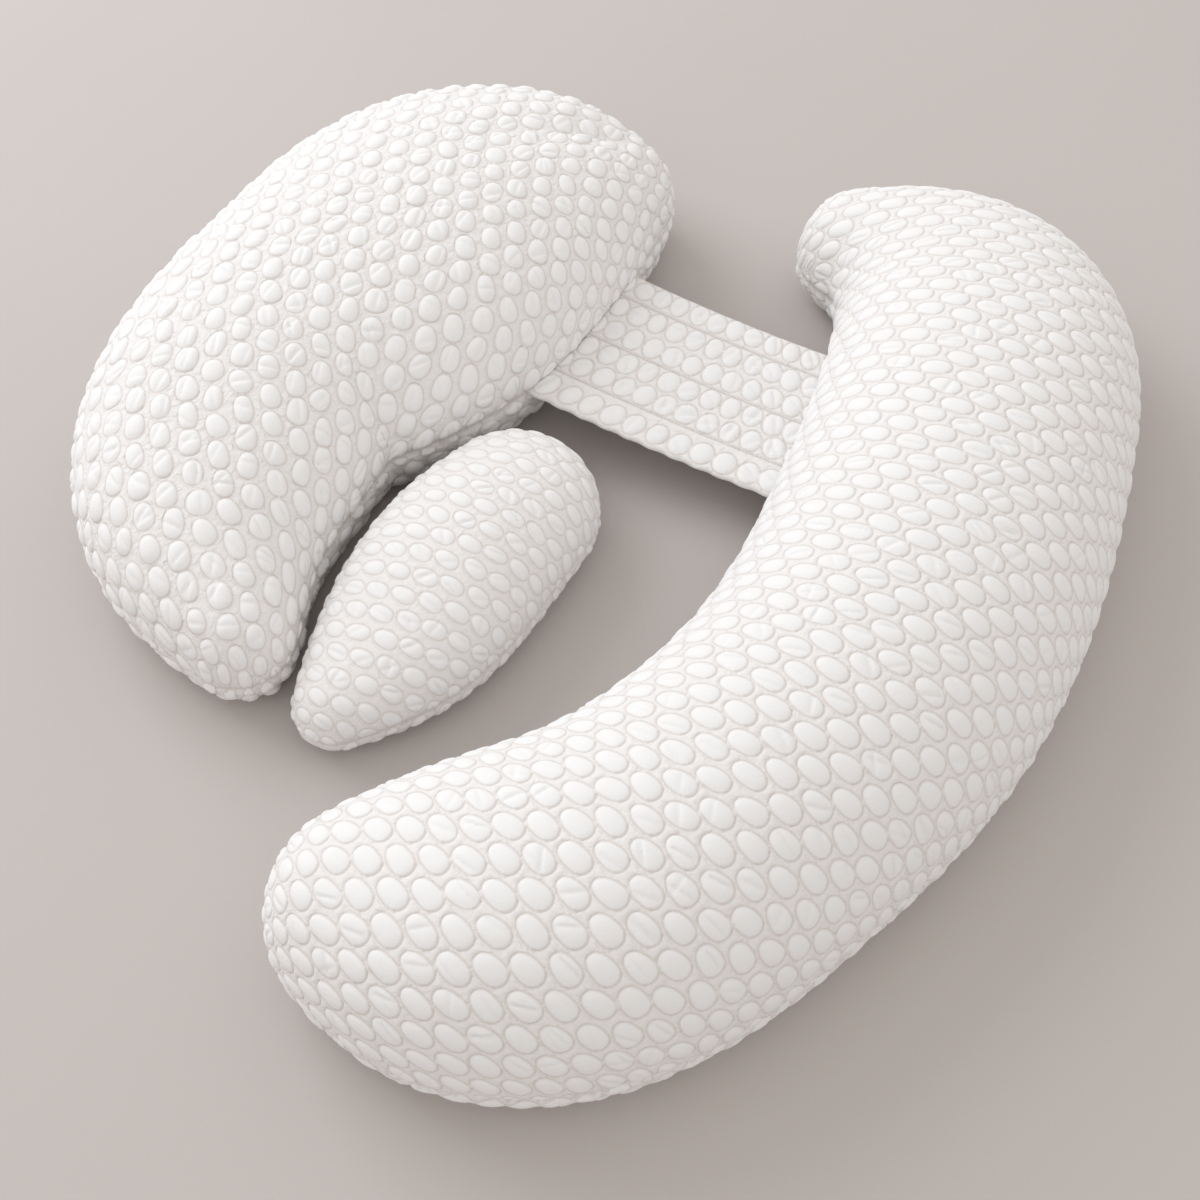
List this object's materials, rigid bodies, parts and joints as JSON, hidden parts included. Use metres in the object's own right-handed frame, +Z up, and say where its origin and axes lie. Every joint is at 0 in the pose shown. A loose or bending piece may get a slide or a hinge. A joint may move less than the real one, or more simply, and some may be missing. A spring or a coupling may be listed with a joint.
{
  "type": "body pillow",
  "caption": "Body pillow set of quilted cloth: a long crescent cushion and a half-moon cushion joined by a wide strap, with a small leaf-shaped cushion between them.",
  "frame": {"origin": "on the surface the set lies on, under the middle of the box round the whole set", "axes": "+Z up; +Y along the crescent cushion towards its hooked end; +X from the half-moon cushion towards the crescent cushion"},
  "size_m": [0.9524, 1.0474, 0.1973],
  "materials": {
    "crescent_cushion_cloth": "matte",
    "half_moon_cushion_cloth": "matte",
    "leaf_cushion_cloth": "matte",
    "joining_strap_cloth": "matte"
  },
  "bodies": {
    "root": {"crescent_cushion": "crescent_cushion_cloth", "half_moon_cushion": "half_moon_cushion_cloth", "leaf_cushion": "leaf_cushion_cloth", "joining_strap": "joining_strap_cloth"}
  },
  "joints": []
}
